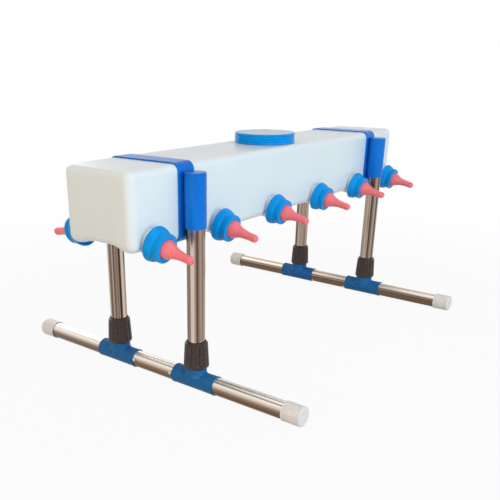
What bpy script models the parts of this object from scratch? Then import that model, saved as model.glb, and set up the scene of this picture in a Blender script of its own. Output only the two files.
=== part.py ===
"""Teat milk feeder: a long plastic milk tank with twelve screw-on rubber teats,
strapped to two chrome tube frames with plastic tee fittings and twist-lock collars.

Run with: blender --background --python part.py
Metres, +Z up. The origin is on the floor under the middle of the tank,
+X runs along the tank and -Y is the front.
"""

import math

import bmesh
import bpy
from mathutils import Matrix, Vector

MM = 0.001
SAME_PLACE = 0.001 * MM

# Clearances between pieces that touch or turn in each other
SEAT_GAP = 0.3 * MM
BORE_GAP = 0.3 * MM
THREAD_GAP = 0.35 * MM

# Frame tubes
TUBE_RADIUS = 16.0 * MM
TUBE_WALL = 1.2 * MM
FRAME_SPACING = 697.2 * MM
BASE_LENGTH = 641.0 * MM
LEG_TOP = 388.0 * MM

# Tee fittings: the tubes slide in with the bore gap
TEE_WALL = 1.7 * MM
TEE_LENGTH = 94.0 * MM
TEE_STUB_RADIUS = 19.5 * MM
TEE_STUB_TOP = 44.0 * MM
TEE_THREAD_RADIUS = 18.4 * MM
TEE_THREAD_LENGTH = 17.0 * MM

# Twist-lock collars
COLLAR_LENGTH = 51.0 * MM
COLLAR_BOTTOM_RADIUS = 23.4 * MM
COLLAR_TOP_RADIUS = 21.0 * MM
COLLAR_LIP_RADIUS = 17.8 * MM
COLLAR_CHAMFER = 5.0 * MM
COLLAR_FOOT_CHAMFER = 2.5 * MM
COLLAR_RIBS = 16
COLLAR_RIB_DEPTH = 1.0 * MM

# White caps on the base tubes' ends
END_CAP_LENGTH = 35.5 * MM
END_CAP_WALL = 1.7 * MM
END_CAP_END = 2.4 * MM

# Stop screws in the base tubes, turned about the tube from its -X side
SCREW_HEAD_RADIUS = 3.6 * MM
SCREW_HEAD_HEIGHT = 2.4 * MM
SCREW_SHANK_RADIUS = 1.6 * MM
SCREW_SHANK_LENGTH = 6.0 * MM
SCREW_DOME_RADIUS = 2.2 * MM
SCREW_DOME_DROP = 0.4 * MM
SCREW_EDGE_HEIGHT = 0.6 * MM
SCREW_TURN = {"left": 14.0, "right": -40.0}

# Tank
TANK_LENGTH = 957.0 * MM
TANK_DEPTH = 152.0 * MM
TANK_TOP = 401.7 * MM
TANK_BOTTOM = 273.0 * MM
TANK_WALL = 3.0 * MM
TANK_END_RADIUS = 16.0 * MM
TANK_TOP_RADIUS = 12.0 * MM
TANK_LOWER_RADIUS = 16.0 * MM
RIDGE_RISE = 8.0 * MM
RIDGE_TOP_HALF_WIDTH = 22.0 * MM
RIDGE_FOOT_HALF_WIDTH = 57.0 * MM
RIDGE_FADE = 45.0 * MM

# Straps round the tank, the sleeves welded to them and the lids that close the sleeves
STRAP_WIDTH = 40.0 * MM
STRAP_THICKNESS = 2.2 * MM
SLEEVE_WALL = 2.0 * MM
SLEEVE_LENGTH = 90.0 * MM
SLEEVE_LID = 1.4 * MM
SLEEVE_LID_CHAMFER = 0.5 * MM

# Teats: six a side, on necks that droop; both rows stand a little off the tank's middle
TEATS_A_SIDE = 6
TEAT_SPACING = 175.6 * MM
TEAT_OFFSET = 5.8 * MM
TEAT_DROOP = math.radians(12.0)
TEAT_RIM_Y = 82.2 * MM
TEAT_RIM_Z = 286.6 * MM
NECK_RADIUS = 21.2 * MM
NECK_BORE = 16.0 * MM
NECK_LENGTH = 20.5 * MM
BOSS_RADIUS = 22.4 * MM
BOSS_REACH = 34.0 * MM
BORE_REACH = 40.0 * MM
CAP_RIM_RADIUS = 29.8 * MM
CAP_SKIRT_LENGTH = 10.5 * MM
CAP_SKIRT_RADIUS = 27.6 * MM
CAP_WAIST_RADIUS = 23.4 * MM
CAP_WAIST_DEPTH = 14.5 * MM
CAP_COLLAR_RADIUS = 24.6 * MM
CAP_COLLAR_LENGTH = 9.0 * MM
CAP_FRONT_WALL = 2.6 * MM
CAP_RIM_WALL = 3.2 * MM
TEAT_FLANGE = 2.2 * MM
TEAT_BASE_RADIUS = 16.2 * MM
TEAT_THROAT_RADIUS = 7.9 * MM
TEAT_TIP_RADIUS = 7.0 * MM
TEAT_REACH = 80.6 * MM
TEAT_WALL = 2.6 * MM
TEAT_HOLE_RADIUS = 1.6 * MM
TEAT_SHOULDER_RADIUS = 4.6 * MM
TEAT_SHOULDER_DROP = 1.75 * MM
TEAT_SLOPE_RADIUS = 11.1 * MM
TEAT_SLOPE_SHARE = 0.25
TEAT_THROAT_SHARE = 0.60

# Filler: a neck on the tank, a white disc on its mouth and a screw ring
FILLER_NECK_RADIUS = 57.6 * MM
FILLER_BORE = 53.0 * MM
FILLER_NECK_HEIGHT = 15.4 * MM
DISC_RADIUS = 58.2 * MM
DISC_RIM = 2.4 * MM
DISC_CENTRE_RADIUS = 55.4 * MM
DISC_DISH_RADIUS = 50.0 * MM
DISC_DISH_DEPTH = 1.5 * MM
RING_RADIUS = 62.1 * MM
RING_HEIGHT = 19.4 * MM
RING_LIP = 1.7 * MM
RING_GROOVES = 3
RING_GROOVE_DEPTH = 0.7 * MM
RING_GROOVE_WIDTH = 1.2 * MM

# How many sides the round pieces have
TUBE_STEPS = 18
CAP_STEPS = 16
TEAT_STEPS = 12
FILLER_STEPS = 32
SCREW_STEPS = 8
EDGE_STEPS = 3


def over_flats(radius, steps):
    """The corner radius of a many-sided bore whose flats stand this far from its axis."""
    return radius / math.cos(math.pi / steps)


# What follows from the sizes above; the tees rest on the flat along their undersides
tee_bore = TUBE_RADIUS + BORE_GAP
tee_radius = tee_bore + TEE_WALL
base_height = tee_radius * math.cos(math.pi / TUBE_STEPS)
sleeve_bore = TUBE_RADIUS + BORE_GAP
sleeve_radius = sleeve_bore + SLEEVE_WALL
strap_inner_y = TANK_DEPTH / 2 + SEAT_GAP
strap_outer_y = strap_inner_y + STRAP_THICKNESS
leg_y = strap_outer_y + SEAT_GAP + sleeve_radius
frame_x = FRAME_SPACING / 2
sides_x = {"left": -1, "right": 1}
sides_y = {"front": -1, "back": 1}

for old in list(bpy.data.objects):
    bpy.data.objects.remove(old, do_unlink=True)


def collection(name):
    made = bpy.data.collections.new(name)
    bpy.context.scene.collection.children.link(made)
    return made


parts = collection("teat_milk_feeder")
cutters = collection("cutters")


def material(name, colour, roughness, metallic=0.0):
    made = bpy.data.materials.new(name)
    made.use_nodes = True
    shader = made.node_tree.nodes["Principled BSDF"]
    shader.inputs["Base Color"].default_value = (*colour, 1.0)
    shader.inputs["Roughness"].default_value = roughness
    shader.inputs["Metallic"].default_value = metallic
    made.diffuse_color = (*colour, 1.0)
    return made


milky_plastic = material("milky_plastic", (0.72, 0.78, 0.80), 0.35)
white_plastic = material("white_plastic", (0.80, 0.80, 0.78), 0.35)
blue_paint = material("blue_paint", (0.01, 0.14, 0.62), 0.22)
blue_plastic = material("blue_plastic", (0.01, 0.25, 0.72), 0.35)
blue_fitting = material("blue_fitting", (0.02, 0.15, 0.42), 0.5)
pink_rubber = material("pink_rubber", (0.85, 0.16, 0.18), 0.5)
brown_plastic = material("brown_plastic", (0.06, 0.045, 0.04), 0.5)
chrome = material("chrome", (0.62, 0.58, 0.54), 0.12, 1.0)
steel = material("steel", (0.6, 0.6, 0.6), 0.3, 1.0)


def place(made, look, parent=None, location=(0, 0, 0), rotation=(0, 0, 0), where=parts):
    """Puts an object in its collection, gives it its material and its place."""
    where.objects.link(made)
    if look is not None:
        made.data.materials.append(look)
    made.parent = parent
    made.location = location
    made.rotation_euler = rotation
    return made


def empty(name, location, rotation=(0, 0, 0)):
    made = bpy.data.objects.new(name, None)
    parts.objects.link(made)
    made.location = location
    made.rotation_euler = rotation
    return made


def as_cutter(made):
    made.hide_render = True
    made.display_type = "WIRE"
    return made


def profile_mesh(name, points, closed):
    """A mesh of edges in the XZ plane, from (radius, height) points."""
    mesh = bpy.data.meshes.new(name)
    bm = bmesh.new()
    corners = [bm.verts.new((radius, 0, height)) for radius, height in points]
    for one, other in zip(corners, corners[1:]):
        bm.edges.new((one, other))
    if closed:
        bm.edges.new((corners[-1], corners[0]))
    bm.to_mesh(mesh)
    bm.free()
    return mesh


def turned(name, points, steps, look, **where):
    """A shape turned about its own Z. Its points run down the outside; a ring's come back up its bore."""
    on_axis = points[0][0] == 0
    made = bpy.data.objects.new(name, profile_mesh(name, points, closed=not on_axis))
    screw = made.modifiers.new("turn", "SCREW")
    screw.axis = "Z"
    screw.angle = math.tau
    screw.steps = steps
    screw.render_steps = steps
    screw.use_merge_vertices = True
    screw.merge_threshold = 0.01 * MM
    screw.use_smooth_shade = True
    return place(made, look, **where)


def tube_profile(outer, inner, low, high):
    return [(outer, high), (outer, low), (inner, low), (inner, high)]


def boolean(target, cutter, operation):
    modifier = target.modifiers.new(f"{operation.lower()}_{cutter.name}", "BOOLEAN")
    modifier.operation = operation
    modifier.solver = "EXACT"
    modifier.object = cutter


def cylinder_into(bm, radius, length, matrix, steps):
    """Adds a cylinder to a mesh, from its matrix's origin along its Z."""
    bmesh.ops.create_cone(
        bm,
        cap_ends=True,
        segments=steps,
        radius1=radius,
        radius2=radius,
        depth=length,
        matrix=matrix @ Matrix.Translation((0, 0, length / 2)),
    )


def mesh_cutter(name, bm):
    mesh = bpy.data.meshes.new(name)
    bm.to_mesh(mesh)
    bm.free()
    return as_cutter(place(bpy.data.objects.new(name, mesh), None, where=cutters))


# Teat places: a frame on each neck, +Z out along the teat, its origin at the cap's rim
def teat_matrix(side, number):
    x = (number - (TEATS_A_SIDE + 1) / 2) * TEAT_SPACING + TEAT_OFFSET
    turn = math.pi / 2 + TEAT_DROOP
    return Matrix.Translation((x, sides_y[side] * TEAT_RIM_Y, TEAT_RIM_Z)) @ Matrix.Rotation(
        -sides_y[side] * turn, 4, "X"
    )


teat_places = {
    (side, number): teat_matrix(side, number)
    for side in sides_y
    for number in range(1, TEATS_A_SIDE + 1)
}


# The tank: a rounded box whose floor is raised along the middle, so that milk runs to the teats
def rounded_box(bm, inset):
    """The tank's block, drawn in by inset all round, with its three sorts of rounded edge."""
    half = Vector((TANK_LENGTH, TANK_DEPTH, TANK_TOP - TANK_BOTTOM)) / 2 - Vector((inset, inset, inset))
    middle = (TANK_TOP + TANK_BOTTOM) / 2
    block = Matrix.Translation((0, 0, middle)) @ Matrix.Diagonal((*half, 1))
    bmesh.ops.create_cube(bm, size=2, matrix=block)

    def bevel(chosen, radius, segments):
        bmesh.ops.bevel(
            bm,
            geom=chosen,
            offset=radius - inset,
            offset_type="OFFSET",
            segments=segments,
            profile=0.5,
            affect="EDGES",
            clamp_overlap=True,
        )

    def level(edge, height):
        return all(abs(corner.co.z - height) < SAME_PLACE for corner in edge.verts)

    upright = [edge for edge in bm.edges if abs(edge.verts[0].co.z - edge.verts[1].co.z) > half.z]
    bevel(upright, TANK_END_RADIUS, EDGE_STEPS)
    bevel([edge for edge in bm.edges if level(edge, middle + half.z)], TANK_TOP_RADIUS, EDGE_STEPS)
    bevel([edge for edge in bm.edges if level(edge, middle - half.z)], TANK_LOWER_RADIUS, EDGE_STEPS)


def raise_floor(bm, inset):
    """Lifts the floor's middle along the whole tank, fading out up the end walls."""
    for way in (-1, 1):
        for share in (0.0, 0.5, 1.0):
            y = way * (RIDGE_TOP_HALF_WIDTH + share * (RIDGE_FOOT_HALF_WIDTH - RIDGE_TOP_HALF_WIDTH))
            bmesh.ops.bisect_plane(
                bm, geom=bm.verts[:] + bm.edges[:] + bm.faces[:], plane_co=(0, y, 0), plane_no=(0, 1, 0)
            )
    for corner in bm.verts:
        across = (abs(corner.co.y) - RIDGE_TOP_HALF_WIDTH) / (RIDGE_FOOT_HALF_WIDTH - RIDGE_TOP_HALF_WIDTH)
        across = min(max(across, 0.0), 1.0)
        up = min(max((corner.co.z - TANK_BOTTOM - inset) / RIDGE_FADE, 0.0), 1.0)
        corner.co.z += RIDGE_RISE * (1 - up) * (1 + math.cos(math.pi * across)) / 2


def tank_block(name, inset, look, where):
    bm = bmesh.new()
    rounded_box(bm, inset)
    raise_floor(bm, inset)
    mesh = bpy.data.meshes.new(name)
    bm.to_mesh(mesh)
    bm.free()
    mesh.shade_smooth()
    return place(bpy.data.objects.new(name, mesh), look, where=where)


tank = tank_block("tank", 0.0, milky_plastic, parts)
tank_cavity = as_cutter(tank_block("tank_cavity", TANK_WALL, None, cutters))

# A thick boss and a threaded neck at each teat, and the filler's wide neck, then all their bores
bosses = bmesh.new()
necks = bmesh.new()
bores = bmesh.new()
for neck_frame in teat_places.values():
    boss_foot = neck_frame @ Matrix.Translation((0, 0, -BOSS_REACH))
    bore_foot = neck_frame @ Matrix.Translation((0, 0, -BORE_REACH))
    cylinder_into(bosses, BOSS_RADIUS, BOSS_REACH - 2 * SEAT_GAP, boss_foot, CAP_STEPS)
    cylinder_into(necks, NECK_RADIUS, BOSS_REACH + NECK_LENGTH, boss_foot, CAP_STEPS)
    cylinder_into(bores, NECK_BORE, 2 * BORE_REACH, bore_foot, CAP_STEPS)
filler_foot_height = TANK_TOP - TANK_WALL - TANK_TOP_RADIUS
filler_neck_top = TANK_TOP + FILLER_NECK_HEIGHT
filler_foot = Matrix.Translation((0, 0, filler_foot_height))
cylinder_into(necks, FILLER_NECK_RADIUS, filler_neck_top - filler_foot_height, filler_foot, FILLER_STEPS)
cylinder_into(bores, FILLER_BORE, 2 * BORE_REACH, filler_foot, FILLER_STEPS)
boolean(tank, mesh_cutter("tank_bosses", bosses), "UNION")
boolean(tank, mesh_cutter("tank_necks", necks), "UNION")
boolean(tank, tank_cavity, "DIFFERENCE")
boolean(tank, mesh_cutter("tank_bores", bores), "DIFFERENCE")

# Teats and their screw caps
cap_inside = NECK_LENGTH + SEAT_GAP + TEAT_FLANGE + SEAT_GAP
cap_hole = over_flats(TEAT_BASE_RADIUS + BORE_GAP, CAP_STEPS)
cap_thread = over_flats(NECK_RADIUS + THREAD_GAP, CAP_STEPS)
cap_front = cap_inside + CAP_FRONT_WALL
cap_profile = [
    (CAP_COLLAR_RADIUS, cap_front),
    (CAP_COLLAR_RADIUS, cap_front - CAP_COLLAR_LENGTH),
    (CAP_WAIST_RADIUS, CAP_WAIST_DEPTH),
    (CAP_SKIRT_RADIUS, CAP_SKIRT_LENGTH),
    (CAP_RIM_RADIUS, 0.0),
    (CAP_RIM_RADIUS - CAP_RIM_WALL, 0.0),
    (cap_thread, CAP_RIM_RADIUS - CAP_RIM_WALL - cap_thread),
    (cap_thread, cap_inside),
    (cap_hole, cap_inside),
    (cap_hole, cap_front),
]

flange_low = NECK_LENGTH + SEAT_GAP
flange_high = flange_low + TEAT_FLANGE
teat_straight = TEAT_REACH - TEAT_TIP_RADIUS
teat_slope = cap_front + (teat_straight - cap_front) * TEAT_SLOPE_SHARE
teat_throat = cap_front + (teat_straight - cap_front) * TEAT_THROAT_SHARE
flange_radius = NECK_RADIUS - SEAT_GAP
teat_profile = [
    (TEAT_HOLE_RADIUS, TEAT_REACH),
    (TEAT_SHOULDER_RADIUS, TEAT_REACH - TEAT_SHOULDER_DROP),
    (TEAT_TIP_RADIUS, teat_straight),
    (TEAT_THROAT_RADIUS, teat_throat),
    (TEAT_SLOPE_RADIUS, teat_slope),
    (TEAT_BASE_RADIUS, cap_front - CAP_FRONT_WALL / 2),
    (TEAT_BASE_RADIUS, flange_high),
    (flange_radius, flange_high),
    (flange_radius, flange_low),
    (TEAT_BASE_RADIUS - TEAT_WALL, flange_low),
    (TEAT_THROAT_RADIUS - TEAT_WALL, teat_throat),
    (TEAT_HOLE_RADIUS, teat_straight),
]

for (side, number), neck_frame in teat_places.items():
    holder = empty(f"teat_axis_{side}_{number}", neck_frame.translation, neck_frame.to_euler())
    turned(f"teat_cap_{side}_{number}", cap_profile, CAP_STEPS, blue_plastic, parent=holder)
    turned(f"teat_{side}_{number}", teat_profile, TEAT_STEPS, pink_rubber, parent=holder)

# The filler's disc and its grooved screw ring, turned about the tank's middle
disc_low = filler_neck_top + SEAT_GAP
disc_rim_top = disc_low + DISC_RIM
ring_roof = disc_rim_top + SEAT_GAP
ring_top = ring_roof + RING_LIP
ring_bottom = ring_top - RING_HEIGHT
disc_profile = [
    (0, ring_top - DISC_DISH_DEPTH),
    (DISC_DISH_RADIUS, ring_top - DISC_DISH_DEPTH),
    (DISC_DISH_RADIUS + DISC_DISH_DEPTH, ring_top),
    (DISC_CENTRE_RADIUS, ring_top),
    (DISC_CENTRE_RADIUS, disc_rim_top),
    (DISC_RADIUS, disc_rim_top),
    (DISC_RADIUS, disc_low),
    (0, disc_low),
]
turned("filler_disc", disc_profile, FILLER_STEPS, white_plastic)

ring_inside = over_flats(max(FILLER_NECK_RADIUS, DISC_RADIUS) + THREAD_GAP, FILLER_STEPS)
ring_mouth = over_flats(DISC_CENTRE_RADIUS + BORE_GAP, FILLER_STEPS)
ring_profile = [(RING_RADIUS - RING_GROOVE_DEPTH, ring_top), (RING_RADIUS, ring_top - RING_GROOVE_DEPTH)]
for groove in range(RING_GROOVES):
    middle = ring_top - RING_HEIGHT * (groove + 1) / (RING_GROOVES + 1)
    ring_profile += [
        (RING_RADIUS, middle + RING_GROOVE_WIDTH / 2),
        (RING_RADIUS - RING_GROOVE_DEPTH, middle),
        (RING_RADIUS, middle - RING_GROOVE_WIDTH / 2),
    ]
ring_profile += [
    (RING_RADIUS, ring_bottom),
    (ring_inside, ring_bottom),
    (ring_inside, ring_roof),
    (ring_mouth, ring_roof),
    (ring_mouth, ring_top),
]
turned("filler_ring", ring_profile, FILLER_STEPS, blue_plastic)


# Straps: a flat band bent round the tank, open in the middle of its own outline
def strap(name, x):
    """A closed band whose section is the strap's thickness by its width."""
    bm = bmesh.new()
    inner_low = TANK_BOTTOM - SEAT_GAP
    inner_high = TANK_TOP + SEAT_GAP
    corners = [
        (1, inner_high, TANK_TOP_RADIUS, 0.0),
        (-1, inner_high, TANK_TOP_RADIUS, 90.0),
        (-1, inner_low, TANK_LOWER_RADIUS, 180.0),
        (1, inner_low, TANK_LOWER_RADIUS, 270.0),
    ]
    loop = []
    for side, height, radius, start in corners:
        outward = 1 if height == inner_high else -1
        centre = (side * (strap_inner_y - radius), height - outward * radius)
        for step in range(EDGE_STEPS + 1):
            angle = math.radians(start + 90.0 * step / EDGE_STEPS)
            y = centre[0] + radius * math.cos(angle)
            z = centre[1] + radius * math.sin(angle)
            loop.append((y, z))
    front = [bm.verts.new((x + STRAP_WIDTH / 2, y, z)) for y, z in loop]
    back = [bm.verts.new((x - STRAP_WIDTH / 2, y, z)) for y, z in loop]
    for here in range(len(loop)):
        there = (here + 1) % len(loop)
        bm.faces.new((back[here], back[there], front[there], front[here]))
    bmesh.ops.recalc_face_normals(bm, faces=bm.faces)
    mesh = bpy.data.meshes.new(name)
    bm.to_mesh(mesh)
    bm.free()
    mesh.shade_smooth()
    made = place(bpy.data.objects.new(name, mesh), blue_paint)
    shell = made.modifiers.new("thickness", "SOLIDIFY")
    shell.thickness = STRAP_THICKNESS
    shell.offset = 1.0
    shell.use_even_offset = True
    return made


# Collar outline: a foot chamfer, a ribbed taper and a chamfered lip, over the tee's thread and the leg
collar_low = TEE_STUB_TOP + SEAT_GAP
collar_high = collar_low + COLLAR_LENGTH
collar_steps = 2 * COLLAR_RIBS
collar_thread = over_flats(TEE_THREAD_RADIUS + THREAD_GAP, collar_steps)
collar_grip = over_flats(TUBE_RADIUS + BORE_GAP, collar_steps)
collar_step = TEE_STUB_TOP + TEE_THREAD_LENGTH + 2 * SEAT_GAP
collar_profile = [
    (COLLAR_LIP_RADIUS, collar_high),
    (COLLAR_TOP_RADIUS, collar_high - COLLAR_CHAMFER),
    (COLLAR_BOTTOM_RADIUS, collar_low + COLLAR_FOOT_CHAMFER),
    (COLLAR_BOTTOM_RADIUS - COLLAR_FOOT_CHAMFER, collar_low),
    (collar_thread, collar_low),
    (collar_thread, collar_step),
    (collar_grip, collar_step + collar_thread - collar_grip),
    (collar_grip, collar_high),
]


def collar(name, x, y):
    """A turned collar whose every other column is drawn in, where it is ribbed."""
    draft = turned(f"{name}_draft", collar_profile, collar_steps, None)
    bpy.context.view_layer.update()
    graph = bpy.context.evaluated_depsgraph_get()
    mesh = bpy.data.meshes.new_from_object(draft.evaluated_get(graph))
    bpy.data.objects.remove(draft, do_unlink=True)
    ribs_low = collar_low + COLLAR_FOOT_CHAMFER - SAME_PLACE
    ribs_high = collar_high - COLLAR_CHAMFER + SAME_PLACE
    for corner in mesh.vertices:
        reach = math.hypot(corner.co.x, corner.co.y)
        column = round(math.atan2(corner.co.y, corner.co.x) / (math.pi / COLLAR_RIBS))
        outside = reach > collar_thread + COLLAR_RIB_DEPTH
        if outside and ribs_low < corner.co.z < ribs_high and column % 2:
            corner.co.x *= (reach - COLLAR_RIB_DEPTH) / reach
            corner.co.y *= (reach - COLLAR_RIB_DEPTH) / reach
    mesh.name = name
    return place(bpy.data.objects.new(name, mesh), brown_plastic, location=(x, y, 0))


def tee(name, x, y):
    """A tee: a tube along Y joined to an upright stub with a threaded neck, bored both ways."""
    arms = tube_profile(tee_radius, tee_bore, -TEE_LENGTH / 2, TEE_LENGTH / 2)
    middle = (x, y, base_height)
    lying = (math.pi / 2, 0, 0)
    made = turned(name, arms, TUBE_STEPS, blue_fitting, location=middle, rotation=lying)
    stub_profile = [
        (0, TEE_STUB_TOP + TEE_THREAD_LENGTH - base_height),
        (TEE_THREAD_RADIUS, TEE_STUB_TOP + TEE_THREAD_LENGTH - base_height),
        (TEE_THREAD_RADIUS, TEE_STUB_TOP - base_height),
        (TEE_STUB_RADIUS, TEE_STUB_TOP - base_height),
        (TEE_STUB_RADIUS, 0),
        (0, 0),
    ]
    stub = turned(f"{name}_stub", stub_profile, TUBE_STEPS, None, location=middle, where=cutters)
    upright = bmesh.new()
    cylinder_into(upright, tee_bore, TEE_LENGTH, Matrix.Translation(middle), TUBE_STEPS)
    through = bmesh.new()
    through_turn = Matrix.Rotation(-math.pi / 2, 4, "X") @ Matrix.Translation((0, 0, -TEE_LENGTH))
    cylinder_into(through, tee_bore, 2 * TEE_LENGTH, Matrix.Translation(middle) @ through_turn, TUBE_STEPS)
    boolean(made, as_cutter(stub), "UNION")
    boolean(made, mesh_cutter(f"{name}_upright_bore", upright), "DIFFERENCE")
    boolean(made, mesh_cutter(f"{name}_through_bore", through), "DIFFERENCE")
    return made


leg_bottom = base_height + TUBE_RADIUS + SEAT_GAP
sleeve_low = LEG_TOP - SLEEVE_LENGTH
lid_seat = LEG_TOP + SEAT_GAP
sleeve_lid_profile = [
    (0, lid_seat + SLEEVE_LID),
    (sleeve_radius - SLEEVE_LID_CHAMFER, lid_seat + SLEEVE_LID),
    (sleeve_radius, lid_seat + SLEEVE_LID - SLEEVE_LID_CHAMFER),
    (sleeve_radius, lid_seat),
    (0, lid_seat),
]
end_cap_inner = TUBE_RADIUS + BORE_GAP
end_cap_outer = end_cap_inner + END_CAP_WALL
end_cap_profile = [
    (0, END_CAP_END),
    (end_cap_outer - END_CAP_WALL, END_CAP_END),
    (end_cap_outer, END_CAP_END - END_CAP_WALL),
    (end_cap_outer, END_CAP_END - END_CAP_LENGTH),
    (end_cap_inner, END_CAP_END - END_CAP_LENGTH),
    (end_cap_inner, 0),
    (0, 0),
]
screw_profile = [
    (0, SCREW_HEAD_HEIGHT),
    (SCREW_DOME_RADIUS, SCREW_HEAD_HEIGHT - SCREW_DOME_DROP),
    (SCREW_HEAD_RADIUS, SCREW_EDGE_HEIGHT),
    (SCREW_HEAD_RADIUS, 0),
    (SCREW_SHANK_RADIUS, 0),
    (SCREW_SHANK_RADIUS, -SCREW_SHANK_LENGTH),
    (0, -SCREW_SHANK_LENGTH),
]
screw_y = leg_y - TEE_LENGTH / 2 - SEAT_GAP - SCREW_HEAD_RADIUS

# Two frames, each a base tube with two tees, and on each tee a leg, its collar and its sleeve
for frame_side, way in sides_x.items():
    x = way * frame_x
    strap(f"strap_{frame_side}", x)
    base_tube = turned(
        f"base_tube_{frame_side}",
        tube_profile(TUBE_RADIUS, TUBE_RADIUS - TUBE_WALL, -BASE_LENGTH / 2, BASE_LENGTH / 2),
        TUBE_STEPS,
        chrome,
        location=(x, 0, base_height),
        rotation=(math.pi / 2, 0, 0),
    )
    screw_holes = bmesh.new()
    for leg_side, hand in sides_y.items():
        y = hand * leg_y
        name = f"{frame_side}_{leg_side}"
        tee(f"tee_{name}", x, y)
        collar(f"lock_collar_{name}", x, y)
        at_leg = {"location": (x, y, 0)}
        turned(
            f"leg_{name}",
            tube_profile(TUBE_RADIUS, TUBE_RADIUS - TUBE_WALL, leg_bottom, LEG_TOP),
            TUBE_STEPS,
            chrome,
            **at_leg,
        )
        turned(f"sleeve_lid_{name}", sleeve_lid_profile, TUBE_STEPS, blue_paint, **at_leg)
        turned(
            f"sleeve_{name}",
            tube_profile(sleeve_radius, sleeve_bore, sleeve_low, LEG_TOP),
            TUBE_STEPS,
            blue_paint,
            **at_leg,
        )
        turned(
            f"end_cap_{name}",
            end_cap_profile,
            TUBE_STEPS,
            white_plastic,
            location=(x, hand * (BASE_LENGTH / 2 + SEAT_GAP), base_height),
            rotation=(-hand * math.pi / 2, 0, 0),
        )
        turn = math.radians(SCREW_TURN[frame_side])
        screw_frame = (
            Matrix.Translation((x, hand * screw_y, base_height))
            @ Matrix.Rotation(turn, 4, "Y")
            @ Matrix.Rotation(-math.pi / 2, 4, "Y")
            @ Matrix.Translation((0, 0, TUBE_RADIUS + SEAT_GAP))
        )
        turned(
            f"stop_screw_{name}",
            screw_profile,
            SCREW_STEPS,
            steel,
            location=screw_frame.translation,
            rotation=screw_frame.to_euler(),
        )
        cylinder_into(
            screw_holes,
            SCREW_SHANK_RADIUS + BORE_GAP,
            2 * SCREW_SHANK_LENGTH,
            screw_frame @ Matrix.Translation((0, 0, -SCREW_SHANK_LENGTH)),
            SCREW_STEPS,
        )
    boolean(base_tube, mesh_cutter(f"screw_holes_{frame_side}", screw_holes), "DIFFERENCE")
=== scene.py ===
"""Looks of a teat milk feeder: a milky tank with rubber teats, strapped to two chrome frames."""

import math

import bmesh
import bpy
import numpy as np
from mathutils import Matrix, Vector


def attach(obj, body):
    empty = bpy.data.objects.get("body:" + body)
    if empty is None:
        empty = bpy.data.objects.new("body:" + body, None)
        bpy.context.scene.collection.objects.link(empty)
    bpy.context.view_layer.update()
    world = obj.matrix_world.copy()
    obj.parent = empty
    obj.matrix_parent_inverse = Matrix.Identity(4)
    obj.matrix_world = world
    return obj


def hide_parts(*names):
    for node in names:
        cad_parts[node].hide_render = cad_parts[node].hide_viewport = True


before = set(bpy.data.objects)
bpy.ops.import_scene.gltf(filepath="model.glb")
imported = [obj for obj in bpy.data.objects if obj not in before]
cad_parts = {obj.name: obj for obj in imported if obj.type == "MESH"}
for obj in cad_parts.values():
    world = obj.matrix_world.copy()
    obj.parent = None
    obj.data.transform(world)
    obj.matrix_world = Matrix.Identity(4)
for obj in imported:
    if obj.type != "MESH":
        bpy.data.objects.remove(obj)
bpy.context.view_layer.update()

# The base tubes: two straight lengths of 32 mm chromed steel tube that lie along the floor.
# They are drawn and polished lengthwise, so their shine runs in long fine streaks.
# Their colour is painted reflection: dark and pale bands round them, dark brown below and pale on
# top.
MM = 0.001
TUBE_RADIUS = 16.0 * MM
TUBE_WALL = 1.2 * MM
TUBE_ROUND = 0.35 * MM
TUBE_COLUMNS = 96
BASE_LENGTH = 641.0 * MM
BASE_HEIGHT = 17.727 * MM
FRAME_X = 348.6 * MM
SIDES_X = {"left": -1, "right": 1}
SAME_POINT = 0.002 * MM
SHARP_ANGLE = math.radians(32)
MOST_ROUNDING = 0.49
CHROME_COLOUR = (0.62, 0.56, 0.51)
STREAKS_ACROSS = 420.0
STREAKS_ALONG = 0.6
REFLECTION_BANDS_ALONG = 0.25


def smooth_object(name, bm, look):
    """Makes a mesh object of a bmesh, shaded smooth except at its sharp edges."""
    bmesh.ops.remove_doubles(bm, verts=bm.verts, dist=SAME_POINT)
    bmesh.ops.recalc_face_normals(bm, faces=bm.faces)
    for edge in bm.edges:
        edge.smooth = len(edge.link_faces) < 2 or edge.calc_face_angle(0.0) < SHARP_ANGLE
    for face in bm.faces:
        face.smooth = True
    mesh = bpy.data.meshes.new(name)
    bm.to_mesh(mesh)
    bm.free()
    made = bpy.data.objects.new(name, mesh)
    bpy.context.scene.collection.objects.link(made)
    mesh.materials.append(look)
    return made


def lathe(bm, outline, columns, matrix=Matrix(), swell=None):
    """Turns an outline of (radius, height) about Z. Swell can change the radius on the way."""
    rings = []
    for radius, height in outline:
        if radius < 1e-7:
            rings.append([bm.verts.new(matrix @ Vector((0, 0, height)))])
            continue
        ring = []
        for column in range(columns):
            angle = math.tau * column / columns
            reach = swell(angle, radius, height) if swell else radius
            place = Vector((reach * math.cos(angle), reach * math.sin(angle), height))
            ring.append(bm.verts.new(matrix @ place))
        rings.append(ring)
    for upper, lower in zip(rings, rings[1:]):
        for column in range(columns):
            beside = (column + 1) % columns
            corners = [upper[column % len(upper)], lower[column % len(lower)]]
            corners += [lower[beside % len(lower)], upper[beside % len(upper)]]
            distinct = list(dict.fromkeys(corners))
            if len(distinct) > 2:
                bm.faces.new(distinct)


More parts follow.
